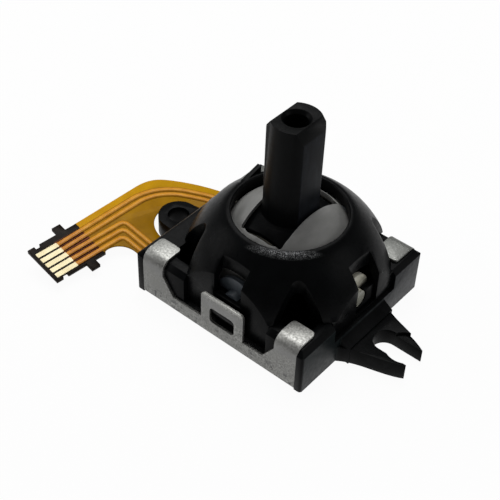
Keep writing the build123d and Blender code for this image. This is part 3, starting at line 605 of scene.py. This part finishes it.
plated, tree, shader = finish("plated_pad", (0.85, 0.75, 0.45), 0.38, 0.15)
pale_gold = mottled(tree, grain(tree, 1500, 4), (0.76, 0.64, 0.35), (0.9, 0.8, 0.5))
tree.links.new(pale_gold, shader.inputs["Base Color"])
relief(tree, shader, grain(tree, 5000, 2, (1, 0.15, 1)), 0.000004)
pad_tree, pad_inputs = pad_row()
first_pad = on_tail(pad_shift - middle_trace * pitch, pad_middle)
pads = grown(
    "plated_pads", [(first_pad.x, first_pad.y, film_top)], [], pad_tree, pad_inputs,
    {"Pitch": tuple(tail_across * pitch), "Turn": (0, 0, -tail_lean), "Finish": plated},
)
dress(pads, plated, "contact_pads", "base")


# Sensors and switch on the film inside the base: printed carbon tracks, a gold
# ring and dot, and a stainless snap dome that clicks down onto the dot.
def coat_node(node, material):
    """Give a carried-over solid its material."""
    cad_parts[node].data.materials.clear()
    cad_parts[node].data.materials.append(material)


carbon, tree, shader = finish("printed_carbon", (0.01, 0.01, 0.01), 0.6)
ink = grain(tree, 9000, 4)
sooty = mottled(tree, ink, (0.006, 0.006, 0.006), (0.02, 0.02, 0.02))
tree.links.new(sooty, shader.inputs["Base Color"])
relief(tree, shader, ink, 0.000004)
coat_node("carbon_tracks", carbon)

gold, tree, shader = finish("gold_contact", (0.85, 0.66, 0.3), 0.3, 1)
tree.links.new(spread(tree, grain(tree, 4000, 4), 0.2, 0.42), shader.inputs["Roughness"])
coat_node("switch_contacts", gold)

spring_steel, tree, shader = finish("spring_steel", (0.6, 0.6, 0.6), 0.28, 1)
brushed = grain(tree, 6000, 3, (1, 0.12, 1))
brushed_grey = mottled(tree, brushed, (0.45, 0.45, 0.44), (0.68, 0.68, 0.67))
tree.links.new(brushed_grey, shader.inputs["Base Color"])
tree.links.new(spread(tree, brushed, 0.2, 0.4), shader.inputs["Roughness"])
relief(tree, shader, brushed, 0.000003)
coat_node("snap_dome", spring_steel)


# Sliders: black acetal blocks that the rockers' fingers push along their rails,
# each with a stamped spring wiper pressed into its underside.
slider_black = black_moulding("slider_black", 0.012, 0.28, 0.4)[0]
for node in ("x_slider", "y_slider"):
    coat_node(node, slider_black)
for node in ("x_wiper", "y_wiper"):
    coat_node(node, spring_steel)


# Rockers: moulded acetal shells, the outer one light grey and the inner one
# cream, slightly translucent, and darkened with painted shade out at their trunnions.
def acetal(name, low, high, roughness, axle, painted_shade_from, painted_shade_colour):
    """Acetal with faint flow marks, darkened with painted shade at both ends of its axle."""
    made, tree, shader = finish(name, high, roughness)
    shader.inputs["Subsurface Weight"].default_value = 0.12
    shader.inputs["Subsurface Scale"].default_value = 0.0003
    shader.inputs["Subsurface Radius"].default_value = (0.6, 0.6, 0.55)
    colour = mottled(tree, grain(tree, 1100, 5, (1, 0.4, 1)), low, high)
    # Painted shade: both ends along the axle are darkened towards the shade colour.
    for way in (axle, -axle):
        colour = tint(tree, along(tree, way, *painted_shade_from), colour, painted_shade_colour)
    tree.links.new(colour, shader.inputs["Base Color"])
    sheen = spread(tree, grain(tree, 5000, 3), roughness - 0.06, roughness + 0.08)
    tree.links.new(sheen, shader.inputs["Roughness"])
    relief(tree, shader, grain(tree, 7000, 3), 0.000004)
    return made


grey_acetal = acetal(
    "grey_acetal", (0.17, 0.17, 0.165), (0.25, 0.25, 0.24), 0.42,
    axle=Vector(to_back), painted_shade_from=(0.0046, 0.0047), painted_shade_colour=(0.06, 0.072, 0.085),
)
cream_acetal = acetal(
    "cream_acetal", (0.5, 0.49, 0.4), (0.62, 0.6, 0.5), 0.4,
    axle=Vector(to_right), painted_shade_from=(0.00562, 0.00566), painted_shade_colour=(0.3, 0.3, 0.25),
)

# The outer shell's slot has nearly square corners, so a core of that outline
# is taken out of the skin.
slot_half_x = 0.00158
slot_half_y = 0.0029
slot_corner = 0.0002
core_bottom = 0.0054
core_top = 0.0082
slot_outline = []
for side_x, side_y, turn in ((1, 1, 0), (-1, 1, 90), (-1, -1, 180), (1, -1, 270)):
    for step in (0, 30, 60, 90):
        slot_outline.append((
            side_x * (slot_half_x - slot_corner) + slot_corner * cos(radians(turn + step)),
            side_y * (slot_half_y - slot_corner) + slot_corner * sin(radians(turn + step)),
        ))
sides = len(slot_outline)
slot_points = [(x, y, z) for z in (core_bottom, core_top) for x, y in slot_outline]
slot_faces = [tuple(reversed(range(sides))), tuple(range(sides, 2 * sides))]
for corner in range(sides):
    following = (corner + 1) % sides
    slot_faces.append((corner, following, sides + following, sides + corner))
slot_mesh = bpy.data.meshes.new("slot_core")
slot_mesh.from_pydata(slot_points, [], slot_faces)
slot_core = placed("slot_core", slot_mesh)
outer_skin = skin_of("upper_rocker", 0.00005)
crisp_slot = outer_skin.modifiers.new("crisp_slot", "BOOLEAN")
crisp_slot.operation = "DIFFERENCE"
crisp_slot.solver = "EXACT"
crisp_slot.object = slot_core
cut_mesh = settled(outer_skin)
outer_skin.modifiers.clear()
outer_skin.data = cut_mesh
bpy.data.objects.remove(slot_core)
cut_mesh.set_sharp_from_angle(angle=radians(40))
dress(outer_skin, grey_acetal, "upper_rocker", "upper_rocker")
dress(skin_of("lower_rocker", 0.00005), cream_acetal, "lower_rocker", "lower_rocker")


# Pivot block with its washer, coil spring and foot: what brings the stick back
# upright. Grey acetal, turned steel, hard-drawn wire and a black foot.
coat_node("pivot_block", grey_acetal)
coat_node("spring_washer", spring_steel)

drawn_wire, tree, shader = finish("drawn_wire", (0.55, 0.55, 0.56), 0.3, 1)
scale_marks = grain(tree, 12000, 3)
wire_grey = mottled(tree, scale_marks, (0.36, 0.36, 0.37), (0.62, 0.62, 0.62))
tree.links.new(wire_grey, shader.inputs["Base Color"])
tree.links.new(spread(tree, scale_marks, 0.22, 0.42), shader.inputs["Roughness"])
coil_spring = skin_of("return_spring", 0.00002)
dress(coil_spring, drawn_wire, "return_spring", "pivot")
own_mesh(coil_spring)

foot_black = black_moulding("foot_black", 0.01, 0.3, 0.42)[0]
dress(skin_of("centring_foot", 0.00004), foot_black, "centring_foot", "foot")


# Stick: one black moulding with its umbrella skirt and keyed stem. The two
# flats and their steep lead-ins take the thumb cap. The right-hand flat is painted a little paler and bluer
# in streaks, as painted light.
flat_starts = (0.00138, 0.00141)
rim_depth = 0.00006
rim_inside = 0.00115
rim_chamfer = 0.00015

stick_black, tree, shader, black = black_moulding("stick_black", 0.0015, 0.3, 0.42)
lit_streaks = spread(tree, grain(tree, 2200, 5, (1, 1, 0.3)), 0.2, 1)
# Painted light: the flat on the right is painted paler and bluer in streaks.
painted_lit_flat = times(tree, along(tree, to_right, *flat_starts), lit_streaks)
tree.links.new(tint(tree, painted_lit_flat, black, (0.008, 0.0095, 0.013)), shader.inputs["Base Color"])
stick_skin = skin_of("stick_shaft", 0.00003, sharp=16)
work = bmesh.new()
work.from_mesh(stick_skin.data)
shaft_top = max(vertex.co.z for vertex in work.verts)
top_rim = [
    edge for edge in work.edges
    if all(vertex.co.z > shaft_top - rim_depth and vertex.co.xy.length > rim_inside for vertex in edge.verts)
]
for vertex in {vertex for edge in top_rim for vertex in edge.verts}:
    vertex.co.xy *= 1 - rim_chamfer / vertex.co.xy.length
work.to_mesh(stick_skin.data)
work.free()
dress(stick_skin, stick_black, "stick_shaft", "stick")


# Domed cover: black nylon like the base, snapped on over the rockers. Its gate
# rim is where the stick strikes. Along the front it carries grey speckles that are partly real scuffs and
# partly a painted highlight.
scuffed_and_lit_side = (0.55, -0.835, 0)
scuffed_and_lit_from = (0.0035, 0.0039)
rim_from = (0.00665, 0.00695)

cover_nylon, tree, shader, black = black_moulding("cover_nylon", 0.0018, 0.26, 0.38)
# Partly real scuffing and partly a painted highlight: grey speckles on the gate rim, towards the front
# right.
near_rim = times(tree, along(tree, up, *rim_from), along(tree, scuffed_and_lit_side, *scuffed_and_lit_from))
fine_dots = spread(tree, grain(tree, 16000, 6), 0, 1, 0.44, 0.7)
thicker_patches = spread(tree, grain(tree, 2200, 2), 0.3, 1)
scuffs_and_painted_highlight = times(tree, near_rim, times(tree, fine_dots, thicker_patches))
tree.links.new(tint(tree, scuffs_and_painted_highlight, black, (0.62, 0.63, 0.64)), shader.inputs["Base Color"])
dress(skin_of("dome_cover", 0.00005), cover_nylon, "dome_cover", "base")

# A thin dust lip hangs from the gate and follows the outer rocker's ball just
# clear of it. It is moulded with the cover.
ball_middle = 0.0029
lip_inside = 0.00492
lip_outside = 0.00508
lip_angles = (49, 53, 57, 61, 65)
lip_steps = 96
lip_profile = [(lip_inside, angle) for angle in lip_angles]
lip_profile += [(lip_outside, angle) for angle in reversed(lip_angles)]
lip_points = []
for step in range(lip_steps):
    around = radians(360 * step / lip_steps)
    for radius, angle in lip_profile:
        out = radius * sin(radians(angle))
        lip_points.append((out * cos(around), out * sin(around), ball_middle + radius * cos(radians(angle))))
lip_faces = []
corners = len(lip_profile)
for step in range(lip_steps):
    here = step * corners
    there = (step + 1) % lip_steps * corners
    for corner in range(corners):
        following = (corner + 1) % corners
        lip_faces.append((here + corner, here + following, there + following, there + corner))
lip_mesh = bpy.data.meshes.new("dust_lip")
lip_mesh.from_pydata(lip_points, [], lip_faces)
work = bmesh.new()
work.from_mesh(lip_mesh)
bmesh.ops.recalc_face_normals(work, faces=work.faces)
work.to_mesh(lip_mesh)
work.free()
shaded(lip_mesh)
dress(placed("dust_lip", lip_mesh), cover_nylon, "dome_cover", "base")
